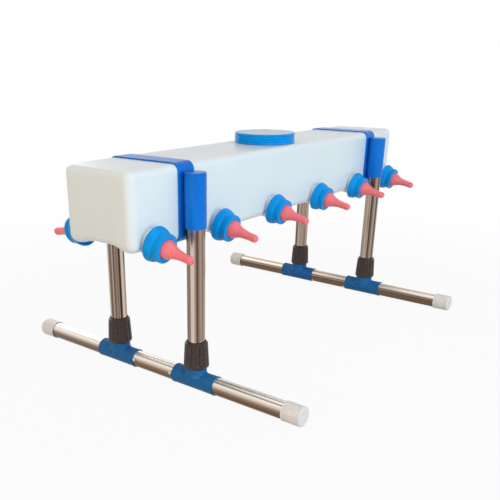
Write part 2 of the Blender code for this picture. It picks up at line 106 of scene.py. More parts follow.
def rounded(outline, steps=4):
    """Rounds an outline's corners. A point is (radius, height) or (radius, height, rounding)."""
    points = []
    for index, point in enumerate(outline):
        here = np.array(point[:2])
        size = point[2] if len(point) > 2 else 0.0
        if size == 0.0 or index in (0, len(outline) - 1):
            points.append(tuple(here))
            continue
        before = np.array(outline[index - 1][:2]) - here
        after = np.array(outline[index + 1][:2]) - here
        to_before = np.linalg.norm(before)
        to_after = np.linalg.norm(after)
        start = here + before / to_before * min(size, to_before * MOST_ROUNDING)
        end = here + after / to_after * min(size, to_after * MOST_ROUNDING)
        for step in range(steps + 1):
            share = step / steps
            bend = (1 - share) ** 2 * start + 2 * share * (1 - share) * here + share**2 * end
            points.append(tuple(bend))
    return points


def new_look(name, colour, roughness, **inputs):
    """A new material with its constant inputs set. Returns it with its node tree and its shader."""
    look = bpy.data.materials.new(name)
    look.use_nodes = True
    shader = look.node_tree.nodes["Principled BSDF"]
    shader.inputs["Base Color"].default_value = (*colour, 1)
    shader.inputs["Roughness"].default_value = roughness
    for socket, value in inputs.items():
        shader.inputs[socket.replace("_", " ")].default_value = value
    return look, look.node_tree, shader


def noise(tree, scale, detail=3.0, stretch=(1, 1, 1)):
    """A noise texture over the object's own coordinates, stretched along chosen axes."""
    where = tree.nodes.new("ShaderNodeTexCoord")
    mapping = tree.nodes.new("ShaderNodeMapping")
    mapping.inputs["Scale"].default_value = stretch
    texture = tree.nodes.new("ShaderNodeTexNoise")
    texture.inputs["Scale"].default_value = scale
    texture.inputs["Detail"].default_value = detail
    tree.links.new(where.outputs["Object"], mapping.inputs["Vector"])
    tree.links.new(mapping.outputs["Vector"], texture.inputs["Vector"])
    return texture.outputs["Fac"]


def ramp(tree, source, stops):
    """A colour ramp. Each stop is (place, colour), where a colour may be one grey level."""
    made = tree.nodes.new("ShaderNodeValToRGB")
    band = made.color_ramp
    while len(band.elements) < len(stops):
        band.elements.new(1.0)
    for element, (place, colour) in zip(band.elements, stops):
        element.position = place
        element.color = (*colour, 1) if isinstance(colour, tuple) else (colour, colour, colour, 1)
    tree.links.new(source, made.inputs["Fac"])
    return made.outputs["Color"]


def dented(tree, shader, source, strength, distance):
    """Dents the surface by a texture's height, through the shader's normal."""
    bump = tree.nodes.new("ShaderNodeBump")
    bump.inputs["Strength"].default_value = strength
    bump.inputs["Distance"].default_value = distance
    tree.links.new(source, bump.inputs["Height"])
    tree.links.new(bump.outputs["Normal"], shader.inputs["Normal"])


def painted_reflection_by_height(tree, colour, painted_layers):
    """Multiplies a lying tube's colour by a painted reflection that changes from its dark underside
    to its pale top.
    """
    place = tree.nodes.new("ShaderNodeSeparateXYZ")
    where = tree.nodes.new("ShaderNodeTexCoord")
    tree.links.new(where.outputs["Object"], place.inputs["Vector"])
    rise = tree.nodes.new("ShaderNodeMapRange")
    rise.inputs["From Min"].default_value = BASE_HEIGHT - TUBE_RADIUS
    rise.inputs["From Max"].default_value = BASE_HEIGHT + TUBE_RADIUS
    tree.links.new(place.outputs["Z"], rise.inputs["Value"])
    mix = tree.nodes.new("ShaderNodeMix")
    mix.data_type = "RGBA"
    mix.blend_type = "MULTIPLY"
    mix.inputs["Factor"].default_value = 1.0
    tree.links.new(colour, mix.inputs[6])
    tree.links.new(ramp(tree, rise.outputs["Result"], painted_layers), mix.inputs[7])
    return mix.outputs[2]


def chrome_look(name, along, spread, reflection_colours, shine, painted_layers=None):
    """Chrome streaked along a tube's own axis, X, Y or Z, over painted reflection bands that spread
    sets apart.
    """
    look, tree, shader = new_look(name, CHROME_COLOUR, 0.14, Metallic=1.0)
    fine = tuple(STREAKS_ALONG if axis == along else STREAKS_ACROSS for axis in "XYZ")
    reflection_stretch = tuple(REFLECTION_BANDS_ALONG if axis == along else spread for axis in "XYZ")
    streaks = noise(tree, 1.0, 4.0, fine)
    # The colour ramp paints reflection as dark and pale bands round the tube; painted layers add a
    # painted reflection by height.
    colour = ramp(tree, noise(tree, 1.0, 2.5, reflection_stretch), reflection_colours)
    if painted_layers:
        colour = painted_reflection_by_height(tree, colour, painted_layers)
    tree.links.new(colour, shader.inputs["Base Color"])
    tree.links.new(ramp(tree, streaks, shine), shader.inputs["Roughness"])
    dented(tree, shader, streaks, 0.02, 0.0002)
    return look


def tube_outline(radius, wall, low, high, ease):
    """The closed outline of a tube's wall, with eased ends."""
    inner = radius - wall
    middle = (low + high) / 2
    corners = [(radius, low, ease), (inner, low, ease), (inner, high, ease), (radius, high, ease)]
    return rounded([(radius, middle), *corners, (radius, middle)], 3)


# Painted reflection in the base tubes' colour: fine dark and pale bands round them.
LYING_PAINTED_REFLECTION_BANDS = [(0.38, (0.36, 0.31, 0.28)), (0.44, (0.80, 0.76, 0.72)), (0.52, 1.0)]
LYING_SHINE = [(0.25, 0.30), (0.75, 0.42)]
# Painted reflection by height: near black at the underside, brown below the middle, pale cream on
# top.
LYING_PAINTED_REFLECTION_HEIGHTS = [
    (0.02, (0.03, 0.02, 0.012)),
    (0.12, (0.11, 0.06, 0.033)),
    (0.42, (0.19, 0.115, 0.07)),
    (0.58, (0.28, 0.19, 0.13)),
    (0.68, (0.55, 0.455, 0.375)),
    (0.82, (0.92, 0.83, 0.74)),
    (0.97, (1.0, 0.93, 0.84)),
]
chrome_lying = chrome_look("chrome_lying", "Y", 230.0, LYING_PAINTED_REFLECTION_BANDS, LYING_SHINE, LYING_PAINTED_REFLECTION_HEIGHTS)
ALONG_Y = Matrix.Rotation(math.pi / 2, 4, "X")
half = BASE_LENGTH / 2
base_outline = tube_outline(TUBE_RADIUS, TUBE_WALL, -half, half, TUBE_ROUND)
for side, way in SIDES_X.items():
    bm = bmesh.new()
    lying = Matrix.Translation((way * FRAME_X, 0, BASE_HEIGHT)) @ ALONG_Y
    lathe(bm, base_outline, TUBE_COLUMNS, lying)
    tube = smooth_object(f"chrome_base_tube_{side}", bm, chrome_lying)
    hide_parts(f"base_tube_{side}")
    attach(tube, f"frame_{side}")

# The white caps on the tubes' ends: soft moulded polythene, a push fit, slightly see-through.
# The mouth has a thin raised lip and the closed end a rounded edge.
# Each stands on the floor with a narrow flat.
SEAT_GAP = 0.3 * MM
SIDES_Y = {"front": -1, "back": 1}
END_CAP_MOUTH = 16.3 * MM
END_CAP_RADIUS = 18.0 * MM
END_CAP_BARREL = 17.7 * MM
END_CAP_LENGTH = 35.5 * MM
END_CAP_END = 2.4 * MM
END_CAP_LIP = 1.6 * MM
END_CAP_COLUMNS = 72

white_cap, tree, shader = new_look(
    "white_cap",
    (0.80, 0.79, 0.77),
    0.42,
    Subsurface_Weight=0.25,
    Subsurface_Radius=(0.008, 0.007, 0.006),
    Subsurface_Scale=0.4,
)
clouds = noise(tree, 90.0, 3.0)
tint = ramp(tree, clouds, [(0.3, (0.73, 0.675, 0.645)), (0.7, (0.84, 0.785, 0.755))])
tree.links.new(tint, shader.inputs["Base Color"])
tree.links.new(ramp(tree, clouds, [(0.3, 0.36), (0.7, 0.5)]), shader.inputs["Roughness"])
dented(tree, shader, noise(tree, 900.0, 2.0), 0.08, 0.0003)

low = END_CAP_END - END_CAP_LENGTH
end_cap_outline = rounded(
    [
        (0, END_CAP_END),
        (END_CAP_RADIUS - 0.25 * MM, END_CAP_END, 2.2 * MM),
        (END_CAP_BARREL, low + 2 * END_CAP_LIP),
        (END_CAP_BARREL, low + END_CAP_LIP, 0.4 * MM),
        (END_CAP_RADIUS, low + 0.8 * END_CAP_LIP, 0.4 * MM),
        (END_CAP_RADIUS, low, 0.5 * MM),
        (END_CAP_MOUTH, low, 0.4 * MM),
        (END_CAP_MOUTH, 0),
        (0, 0),
    ]
)
for side, way in SIDES_X.items():
    for end, hand in SIDES_Y.items():
        bm = bmesh.new()
        seat = Matrix.Translation((way * FRAME_X, hand * (BASE_LENGTH / 2 + SEAT_GAP), BASE_HEIGHT))
        seat @= Matrix.Rotation(-hand * math.pi / 2, 4, "X")
        lathe(bm, end_cap_outline, END_CAP_COLUMNS, seat)
        for corner in bm.verts:
            corner.co.z = max(corner.co.z, 0.0)
        cap = smooth_object(f"white_end_cap_{side}_{end}", bm, white_cap)
        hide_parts(f"end_cap_{side}_{end}")
        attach(cap, f"frame_{side}")

# The tee fittings: thick moulded plastic pipe tees, glued on the base tubes.
# Each has a beaded rim at both mouths, a filleted stub and a threaded neck.
# It stands on the floor with a narrow flat.
LEG_Y = 97.1 * MM
TEE_RADIUS = 18.0 * MM
TEE_BODY_RADIUS = 17.5 * MM
TEE_BORE = 16.3 * MM
TEE_LENGTH = 94.0 * MM
TEE_RIM = 3.0 * MM
TEE_CELL = 0.8 * MM
STUB_RADIUS = 19.5 * MM
STUB_BODY_RADIUS = 19.3 * MM
STUB_TOP = 44.0 * MM
FLARE_RADIUS = 22.1 * MM
FLARE_TOP = 14.0 * MM
FLARE_FOOT = 9.5 * MM
THREAD_RADIUS = 18.4 * MM
THREAD_ROOT = 17.5 * MM
THREAD_TOP = 61.0 * MM
THREAD_TURNS = 5

tee_blue, tree, shader = new_look("tee_blue", (0.018, 0.12, 0.32), 0.48, Specular_IOR_Level=0.15)
grain = noise(tree, 120.0, 4.0)
tint = ramp(tree, grain, [(0.3, (0.014, 0.115, 0.31)), (0.7, (0.022, 0.155, 0.39))])
tree.links.new(tint, shader.inputs["Base Color"])
tree.links.new(ramp(tree, grain, [(0.3, 0.40), (0.7, 0.56)]), shader.inputs["Roughness"])
dented(tree, shader, noise(tree, 1500.0, 2.0), 0.12, 0.0003)


def evaluated_mesh(made):
    """The mesh that an object's modifiers give, as a bmesh; the object is removed."""
    bpy.context.view_layer.update()
    graph = bpy.context.evaluated_depsgraph_get()
    bm = bmesh.new()
    bm.from_mesh(bpy.data.meshes.new_from_object(made.evaluated_get(graph)))
    bpy.data.objects.remove(made, do_unlink=True)
    return bm


def rough_object(bm):
    """An object that only holds a mesh while it is worked on."""
    mesh = bpy.data.meshes.new("rough")
    bm.to_mesh(mesh)
    bm.free()
    made = bpy.data.objects.new("rough", mesh)
    bpy.context.scene.collection.objects.link(made)
    return made


def tee_body():
    """The tee's outside about its own middle: two crossing tubes melted together."""
    bm = bmesh.new()
    half = TEE_LENGTH / 2
    barrel = [(0, half), (TEE_BODY_RADIUS, half), (TEE_BODY_RADIUS, -half), (0, -half)]
    lathe(bm, barrel, TUBE_COLUMNS, ALONG_Y)
    top = STUB_TOP - BASE_HEIGHT
    lathe(bm, [(0, top), (STUB_BODY_RADIUS, top), (STUB_BODY_RADIUS, 0), (0, 0)], TUBE_COLUMNS)
    flare = [(0, FLARE_TOP), (STUB_RADIUS, FLARE_TOP), (FLARE_RADIUS, FLARE_FOOT), (0, FLARE_FOOT)]
    lathe(bm, flare, TUBE_COLUMNS)
    bmesh.ops.recalc_face_normals(bm, faces=bm.faces)
    rough = rough_object(bm)
    melt = rough.modifiers.new("melt", "REMESH")
    melt.mode = "VOXEL"
    melt.voxel_size = TEE_CELL
    ease = rough.modifiers.new("ease", "SMOOTH")
    ease.factor = 0.5
    ease.iterations = 8
    return evaluated_mesh(rough)


def tee_parts(bm):
    """Adds the beaded rims, the bores' walls and the threaded neck to the tee's body."""
    half = TEE_LENGTH / 2
    for hand in (-1, 1):
        turn = Matrix.Rotation(-hand * math.pi / 2, 4, "X")
        rim = rounded(
            [
                (TEE_RADIUS - 1.2 * MM, half - TEE_RIM - 0.6 * MM),
                (TEE_RADIUS, half - TEE_RIM, 0.6 * MM),
                (TEE_RADIUS, half, 0.6 * MM),
                (TEE_BORE, half, 0.5 * MM),
                (TEE_BORE, half - 3 * TEE_RIM),
            ]
        )
        lathe(bm, rim[::-1], TUBE_COLUMNS, turn)
    top = STUB_TOP - BASE_HEIGHT
    neck = [(STUB_RADIUS - 1.5 * MM, top - 3 * MM), (STUB_RADIUS, top - 2.4 * MM, 0.4 * MM)]
    neck += [(STUB_RADIUS, top, 0.4 * MM), (THREAD_ROOT, top)]
    pitch = (THREAD_TOP - STUB_TOP) / (THREAD_TURNS + 1)
    for thread in range(THREAD_TURNS):
        start = top + pitch * (thread + 0.5)
        neck += [(THREAD_ROOT, start), (THREAD_RADIUS, start + 0.3 * pitch)]
        neck += [(THREAD_RADIUS, start + 0.6 * pitch), (THREAD_ROOT, start + 0.9 * pitch)]
    end = THREAD_TOP - BASE_HEIGHT
    neck += [(THREAD_ROOT, end, 0.5 * MM), (TEE_BORE, end, 0.4 * MM), (TEE_BORE, top)]
    lathe(bm, rounded(neck)[::-1], TUBE_COLUMNS)


tee_shape = tee_body()
tee_parts(tee_shape)
bmesh.ops.recalc_face_normals(tee_shape, faces=tee_shape.faces)
for side, way in SIDES_X.items():
    for end, hand in SIDES_Y.items():
        bm = tee_shape.copy()
        bmesh.ops.translate(bm, verts=bm.verts, vec=(way * FRAME_X, hand * LEG_Y, BASE_HEIGHT))
        for corner in bm.verts:
            corner.co.z = max(corner.co.z, 0.0)
        tee = smooth_object(f"blue_tee_{side}_{end}", bm, tee_blue)
        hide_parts(f"tee_{side}_{end}")
        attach(tee, f"frame_{side}")
tee_shape.free()

# The stop screws: small zinc plated pan heads with a cross recess, driven into the base tubes
# just inboard of the tees, so that the tees can't creep inward.
SCREW_HEAD = 3.6 * MM
SCREW_HEIGHT = 2.4 * MM
SCREW_SHANK = 1.6 * MM
SCREW_LENGTH = 6.0 * MM
SCREW_COLUMNS = 40
SCREW_TURN = {"left": 14.0, "right": -40.0}
SCREW_Y = LEG_Y - TEE_LENGTH / 2 - SEAT_GAP - SCREW_HEAD
CROSS_WIDTH = 0.7 * MM
CROSS_HEIGHT = 2.0 * MM

zinc, tree, shader = new_look("zinc", (0.66, 0.65, 0.62), 0.28, Metallic=1.0)
flakes = noise(tree, 900.0, 3.0)
tint = ramp(tree, flakes, [(0.3, (0.50, 0.49, 0.47)), (0.7, (0.78, 0.77, 0.74))])
tree.links.new(tint, shader.inputs["Base Color"])
tree.links.new(ramp(tree, flakes, [(0.3, 0.22), (0.7, 0.40)]), shader.inputs["Roughness"])


def screw_body():
    """A pan-head screw on its own axis, with a cross cut in its head."""
    bm = bmesh.new()
    outline = [(0, SCREW_HEIGHT), (SCREW_HEAD * 0.55, SCREW_HEIGHT - 0.15 * MM)]
    outline += [(SCREW_HEAD * 0.85, SCREW_HEIGHT - 0.8 * MM), (SCREW_HEAD, SCREW_HEIGHT - 1.8 * MM)]
    outline += [(SCREW_HEAD, 0), (SCREW_SHANK, 0), (SCREW_SHANK, -SCREW_LENGTH), (0, -SCREW_LENGTH)]
    lathe(bm, outline, SCREW_COLUMNS)
    bmesh.ops.recalc_face_normals(bm, faces=bm.faces)
    head = rough_object(bm)
    bm = bmesh.new()
    for turn in (0, 90):
        arm = Matrix.Rotation(math.radians(turn), 4, "Z") @ Matrix.Translation((0, 0, SCREW_HEIGHT))
        size = Matrix.Diagonal((SCREW_HEAD * 1.1, CROSS_WIDTH, CROSS_HEIGHT, 1))
        bmesh.ops.create_cube(bm, size=1, matrix=arm @ size)
    cross = rough_object(bm)
    cut = head.modifiers.new("cross", "BOOLEAN")
    cut.operation = "DIFFERENCE"
    cut.solver = "EXACT"
    cut.use_self = True
    cut.object = cross
    bm = evaluated_mesh(head)
    bpy.data.objects.remove(cross, do_unlink=True)
    return bm


screw_shape = screw_body()
for side, way in SIDES_X.items():
    for end, hand in SIDES_Y.items():
        bm = screw_shape.copy()
        seat = Matrix.Translation((way * FRAME_X, hand * SCREW_Y, BASE_HEIGHT))
        seat @= Matrix.Rotation(math.radians(SCREW_TURN[side]) - math.pi / 2, 4, "Y")
        seat @= Matrix.Translation((0, 0, TUBE_RADIUS + SEAT_GAP))
        bmesh.ops.transform(bm, matrix=seat, verts=bm.verts)
        screw = smooth_object(f"pan_screw_{side}_{end}", bm, zinc)
        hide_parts(f"stop_screw_{side}_{end}")
        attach(screw, f"frame_{side}")
screw_shape.free()

# The legs: 32 mm chromed steel tubes, cut square, that stand in the tees on the base tubes.
# Nothing is screwed to them: the lock collars grip them, and the tank's sleeves slip over them.
LEG_FOOT = BASE_HEIGHT + TUBE_RADIUS + SEAT_GAP
LEG_TOP = 388.0 * MM
# Painted reflection in the legs' colour: dark brown to pale tan bands round them.
STANDING_PAINTED_REFLECTION_BANDS = [
    (0.36, (0.07, 0.045, 0.035)),
    (0.43, (0.22, 0.155, 0.12)),
    (0.50, (0.38, 0.29, 0.23)),
    (0.56, (0.46, 0.37, 0.29)),
    (0.63, (0.66, 0.56, 0.45)),
]
STANDING_SHINE = [(0.25, 0.16), (0.75, 0.28)]
chrome_standing = chrome_look("chrome_standing", "Z", 120.0, STANDING_PAINTED_REFLECTION_BANDS, STANDING_SHINE)
leg_outline = tube_outline(TUBE_RADIUS, TUBE_WALL, LEG_FOOT, LEG_TOP, TUBE_ROUND)
for side, way in SIDES_X.items():
    for end, hand in SIDES_Y.items():
        bm = bmesh.new()
        standing = Matrix.Translation((way * FRAME_X, hand * LEG_Y, 0))
        lathe(bm, leg_outline, TUBE_COLUMNS, standing)
        leg = smooth_object(f"chrome_leg_{side}_{end}", bm, chrome_standing)
        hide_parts(f"leg_{side}_{end}")
        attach(leg, f"frame_{side}")

# The lock collars: dark brown moulded nylon, screwed on the tees' necks to grip the legs.
# They taper upward, with grip ribs all round and a narrow gripping lip on top.
COLLAR_LOW = 44.3 * MM
COLLAR_HIGH = 95.3 * MM
COLLAR_FOOT_RADIUS = 23.4 * MM
COLLAR_HEAD_RADIUS = 21.0 * MM
COLLAR_BORE = 16.25 * MM
COLLAR_THREAD = 18.75 * MM
COLLAR_FOOT_EDGE = 21.0 * MM
COLLAR_START = COLLAR_LOW + 0.02 * MM
COLLAR_STEPS = 14
COLLAR_RIBS = 16
COLLAR_RIB_DEPTH = 1.8 * MM
COLUMNS_A_RIB = 12

collar_brown, tree, shader = new_look(
    "collar_brown", (0.050, 0.031, 0.026), 0.18, Specular_IOR_Level=0.35
)
mottle = noise(tree, 160.0, 4.0)
tint = ramp(tree, mottle, [(0.3, (0.032, 0.016, 0.012)), (0.7, (0.060, 0.036, 0.029))])
tree.links.new(tint, shader.inputs["Base Color"])
tree.links.new(ramp(tree, mottle, [(0.3, 0.16), (0.7, 0.28)]), shader.inputs["Roughness"])
dented(tree, shader, noise(tree, 1200.0, 2.0), 0.1, 0.0003)


def ribbed(angle, radius, height):
    """Draws the collar in between its ribs, fading out towards its foot and head."""
    if radius < COLLAR_HEAD_RADIUS - 1.0 * MM:
        return radius
    wave = 0.5 - 0.5 * math.cos(COLLAR_RIBS * angle)
    above_foot = (height - COLLAR_LOW) / (6 * MM)
    below_head = (COLLAR_HIGH - 4.0 * MM - height) / (3 * MM)
    fade = max(min(above_foot, below_head, 1.0), 0.0)
    return radius - COLLAR_RIB_DEPTH * wave**2.5 * fade


collar_side = [
    (
        COLLAR_FOOT_RADIUS + (COLLAR_HEAD_RADIUS - COLLAR_FOOT_RADIUS) * step / COLLAR_STEPS,
        COLLAR_LOW + 2.5 * MM + (COLLAR_HIGH - COLLAR_LOW - 7.5 * MM) * step / COLLAR_STEPS,
    )
    for step in range(COLLAR_STEPS + 1)
]
collar_outline = rounded(
    [
        (COLLAR_FOOT_EDGE, COLLAR_START, 0.5 * MM),
        *collar_side,
        (COLLAR_HEAD_RADIUS - 0.5 * MM, COLLAR_HIGH - 3.6 * MM, 0.5 * MM),
        (COLLAR_HEAD_RADIUS - 2.6 * MM, COLLAR_HIGH - 3.0 * MM, 0.4 * MM),
        (COLLAR_HEAD_RADIUS - 2.9 * MM, COLLAR_HIGH - 0.6 * MM, 0.5 * MM),
        (COLLAR_BORE + 0.9 * MM, COLLAR_HIGH, 0.4 * MM),
        (COLLAR_BORE, COLLAR_HIGH - 1.2 * MM, 0.3 * MM),
        (COLLAR_BORE, 62 * MM),
        (COLLAR_THREAD, 61 * MM),
        (COLLAR_THREAD, COLLAR_START),
        (COLLAR_FOOT_EDGE, COLLAR_START),
    ]
)
for side, way in SIDES_X.items():
    for end, hand in SIDES_Y.items():
        bm = bmesh.new()
        standing = Matrix.Translation((way * FRAME_X, hand * LEG_Y, 0))
        lathe(bm, collar_outline[::-1], COLUMNS_A_RIB * COLLAR_RIBS, standing, ribbed)
        collar = smooth_object(f"brown_collar_{side}_{end}", bm, collar_brown)
        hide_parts(f"lock_collar_{side}_{end}")
        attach(collar, f"lock_collar_{side}_{end}")

# The straps: flat steel bands, 40 mm wide, bent round the tank and powder coated gloss blue.
# Their edges are eased and their corners follow the tank's.
STRAP_WIDTH = 40.0 * MM
STRAP_THICKNESS = 2.2 * MM
STRAP_INNER_Y = 76.3 * MM
STRAP_EASE = 0.5 * MM
BEND_STEPS = 12
TANK_TOP = 401.7 * MM
TANK_BOTTOM = 273.0 * MM
TOP_RADIUS = 12.0 * MM
LOWER_RADIUS = 16.0 * MM

gloss_blue, tree, shader = new_look(
    "gloss_blue", (0.004, 0.19, 0.75), 0.26, Specular_IOR_Level=0.12
)
orange_peel = noise(tree, 260.0, 2.0)
clouds = noise(tree, 14.0, 3.0)
tint = ramp(tree, clouds, [(0.3, (0.002, 0.150, 0.59)), (0.7, (0.004, 0.185, 0.69))])
tree.links.new(tint, shader.inputs["Base Color"])
tree.links.new(ramp(tree, orange_peel, [(0.3, 0.18), (0.7, 0.30)]), shader.inputs["Roughness"])
dented(tree, shader, orange_peel, 0.08, 0.0003)


def band_loop(out):
    """The strap's run round the tank in the YZ plane, pushed out by a distance."""
    corners = [
        (1, TANK_TOP + SEAT_GAP, TOP_RADIUS, 0),
        (-1, TANK_TOP + SEAT_GAP, TOP_RADIUS, 90),
        (-1, TANK_BOTTOM - SEAT_GAP, LOWER_RADIUS, 180),
        (1, TANK_BOTTOM - SEAT_GAP, LOWER_RADIUS, 270),
    ]
    points = []
    for way, height, radius, start in corners:
        upward = 1 if start < 180 else -1
        centre = Vector((way * (STRAP_INNER_Y - radius), height - upward * radius))
        for step in range(BEND_STEPS + 1):
            angle = math.radians(start + 90 * step / BEND_STEPS)
            points.append(centre + (radius + out) * Vector((math.cos(angle), math.sin(angle))))
    return points


eased = STRAP_THICKNESS - STRAP_EASE
section = [(-1, 0, 0), (-1, eased, 0), (-1, STRAP_THICKNESS, STRAP_EASE)]
section += [(1, STRAP_THICKNESS, STRAP_EASE), (1, eased, 0), (1, 0, 0)]
for side, way in SIDES_X.items():
    bm = bmesh.new()
    runs = []
    for edge, out, inset in section:
        x = way * FRAME_X + edge * (STRAP_WIDTH / 2 - inset)
        runs.append([bm.verts.new((x, point.x, point.y)) for point in band_loop(out)])
    for here, there in zip(runs, runs[1:] + runs[:1]):
        for place in range(len(here)):
            beside = (place + 1) % len(here)
            bm.faces.new((here[place], here[beside], there[beside], there[place]))
    strap = smooth_object(f"blue_strap_{side}", bm, gloss_blue)
    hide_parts(f"strap_{side}")
    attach(strap, "tank_assembly")

# The sleeves: short lengths of blue steel tube welded to the straps, closed by a lid on top.
# They slip over the legs. A weld bead runs down each side where sleeve and strap touch.
SLEEVE_RADIUS = 18.3 * MM
SLEEVE_BORE = 16.3 * MM
SLEEVE_LOW = 298.0 * MM
SLEEVE_EASE = 0.6 * MM
LID_TOP = 389.7 * MM
LID_FOOT = 387.9 * MM
LID_LIFT = 0.12 * MM
WELD_RADIUS = 1.5 * MM
WELD_START = 6.0 * MM
WELD_RIPPLES = 42
WELD_COLUMNS = 12
WELD_ACROSS = 0.34
WELD_DEPTH = 0.955


def weld_bead(bm, foot, hand, edge, low, high):
    """A rippled bead in the corner between the sleeve and the strap."""
    rings = []
    across = edge * SLEEVE_RADIUS * WELD_ACROSS
    inward = -hand * (SLEEVE_RADIUS * WELD_DEPTH)
    for step in range(WELD_RIPPLES + 1):
        height = low + (high - low) * step / WELD_RIPPLES
        taper = min(step, WELD_RIPPLES - step, 2) / 2
        size = WELD_RADIUS * (0.15 + 0.85 * taper) * (1 + 0.10 * math.cos(step * math.pi))
        middle = foot + Vector((across, inward, height))
        ring = []
        for column in range(WELD_COLUMNS):
            angle = math.tau * column / WELD_COLUMNS
            ring.append(bm.verts.new(middle + size * Vector((math.cos(angle), math.sin(angle), 0))))
        rings.append(ring)
    for lower, upper in zip(rings, rings[1:]):
        for column in range(WELD_COLUMNS):
            beside = (column + 1) % WELD_COLUMNS
            bm.faces.new((lower[column], lower[beside], upper[beside], upper[column]))
    bm.faces.new(rings[0][::-1])
    bm.faces.new(rings[-1])


sleeve_wall = SLEEVE_RADIUS - SLEEVE_BORE
sleeve_outline = tube_outline(SLEEVE_RADIUS, sleeve_wall, SLEEVE_LOW, LEG_TOP, SLEEVE_EASE)
lid_edge = [(SLEEVE_RADIUS, LID_TOP, SLEEVE_EASE), (SLEEVE_RADIUS, LID_FOOT)]
lid_outline = rounded([(0, LID_TOP), *lid_edge, (0, LID_FOOT)])
for side, way in SIDES_X.items():
    for end, hand in SIDES_Y.items():
        foot = Vector((way * FRAME_X, hand * LEG_Y, 0))
        bm = bmesh.new()
        lathe(bm, sleeve_outline, TUBE_COLUMNS, Matrix.Translation(foot))
        for edge in (-1, 1):
            weld_bead(bm, foot, hand, edge, SLEEVE_LOW + WELD_START, LEG_TOP - WELD_START)
        sleeve = smooth_object(f"blue_sleeve_{side}_{end}", bm, gloss_blue)
        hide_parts(f"sleeve_{side}_{end}")
        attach(sleeve, "tank_assembly")
        bm = bmesh.new()
        lathe(bm, lid_outline, TUBE_COLUMNS, Matrix.Translation(foot + Vector((0, 0, LID_LIFT))))
        lid = smooth_object(f"blue_lid_{side}_{end}", bm, gloss_blue)
        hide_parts(f"sleeve_lid_{side}_{end}")
        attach(lid, "tank_assembly")

# The tank: blow-moulded milky polythene, about 3 mm thick, with soft edges and faintly wavy walls.
# Its floor is raised along the middle, so that the milk runs to the teats.
# The teat necks and the filler neck are moulded in one with it.
TANK_LENGTH = 957.0 * MM
TANK_DEPTH = 152.0 * MM
TANK_WALL = 3.0 * MM
END_RADIUS = 16.0 * MM
RIDGE_RISE = 8.0 * MM
RIDGE_TOP = 22.0 * MM
RIDGE_FOOT = 57.0 * MM
RIDGE_FADE = 45.0 * MM
RIDGE_CUTS = 9
OUTER_STEPS = 8
INNER_STEPS = 6
TEATS_A_SIDE = 6
TEAT_SPACING = 175.6 * MM
TEAT_OFFSET = 5.8 * MM
TEAT_DROOP = math.radians(12.0)
TEAT_RIM_Y = 82.2 * MM
TEAT_RIM_Z = 286.6 * MM
NECK_RADIUS = 21.2 * MM
NECK_BORE = 16.0 * MM
NECK_LENGTH = 20.5 * MM
NECK_ROOT = 20.2 * MM
NECK_COLUMNS = 48
BOSS_RADIUS = 22.4 * MM
BOSS_REACH = 34.0 * MM
BORE_REACH = 40.0 * MM
FILLER_NECK_RADIUS = 57.6 * MM
FILLER_NECK_ROOT = 56.4 * MM
FILLER_COLLAR_RADIUS = 58.6 * MM
FILLER_BORE = 53.0 * MM
FILLER_NECK_TOP = 417.1 * MM
FILLER_FOOT = 387.7 * MM
FILLER_BORE_END = 500.0 * MM

milky, tree, shader = new_look(
    "milky_polythene",
    (0.785, 0.83, 0.85),
    0.28,
    Subsurface_Weight=0.2,
    Subsurface_Radius=(0.02, 0.02, 0.022),
    Subsurface_Scale=0.5,
)
clouds = noise(tree, 7.0, 3.0, (0.5, 1, 1))
tint = ramp(tree, clouds, [(0.3, (0.77, 0.815, 0.84)), (0.7, (0.81, 0.85, 0.87))])
tree.links.new(tint, shader.inputs["Base Color"])
shine = ramp(tree, noise(tree, 9.0, 2.0), [(0.3, 0.29), (0.7, 0.34)])
tree.links.new(shine, shader.inputs["Roughness"])
dented(tree, shader, noise(tree, 11.0, 1.0), 0.25, 0.004)


def tank_block(inset, steps):
    """The tank's rounded block, drawn in by inset all round, with its floor's middle raised."""
    bm = bmesh.new()
    size = Vector((TANK_LENGTH, TANK_DEPTH, TANK_TOP - TANK_BOTTOM))
    half = size / 2 - Vector((inset, inset, inset))
    middle = (TANK_TOP + TANK_BOTTOM) / 2
    block = Matrix.Translation((0, 0, middle)) @ Matrix.Diagonal((*half, 1))
    bmesh.ops.create_cube(bm, size=2, matrix=block)

    def round_off(chosen, radius):
        edges = [edge for edge in bm.edges if chosen(*(corner.co.z for corner in edge.verts))]
        bmesh.ops.bevel(
            bm, geom=edges, offset=radius - inset, segments=steps, profile=0.5, affect="EDGES"
        )

    def level(height):
        return lambda start, end: max(abs(start - height), abs(end - height)) < 1e-6

    round_off(lambda start, end: abs(start - end) > half.z, END_RADIUS)
    round_off(level(middle + half.z), TOP_RADIUS)
    round_off(level(middle - half.z), LOWER_RADIUS)
    for way in (-1, 1):
        for cut in range(RIDGE_CUTS):
            y = way * (RIDGE_TOP + (RIDGE_FOOT - RIDGE_TOP) * cut / (RIDGE_CUTS - 1))
            everything = bm.verts[:] + bm.edges[:] + bm.faces[:]
            bmesh.ops.bisect_plane(bm, geom=everything, plane_co=(0, y, 0), plane_no=(0, 1, 0))
    for corner in bm.verts:
        across = min(max((abs(corner.co.y) - RIDGE_TOP) / (RIDGE_FOOT - RIDGE_TOP), 0), 1)
        up = min(max((corner.co.z - TANK_BOTTOM - inset) / RIDGE_FADE, 0), 1)
        corner.co.z += RIDGE_RISE * (1 - up) * (1 + math.cos(math.pi * across)) / 2
    return bm


def teat_seat(hand, number):
    """Where a teat's neck points: +Z out along it, with its origin at the cap's rim."""
    x = (number - (TEATS_A_SIDE + 1) / 2) * TEAT_SPACING + TEAT_OFFSET
    turn = Matrix.Rotation(-hand * (math.pi / 2 + TEAT_DROOP), 4, "X")
    return Matrix.Translation((x, hand * TEAT_RIM_Y, TEAT_RIM_Z)) @ turn


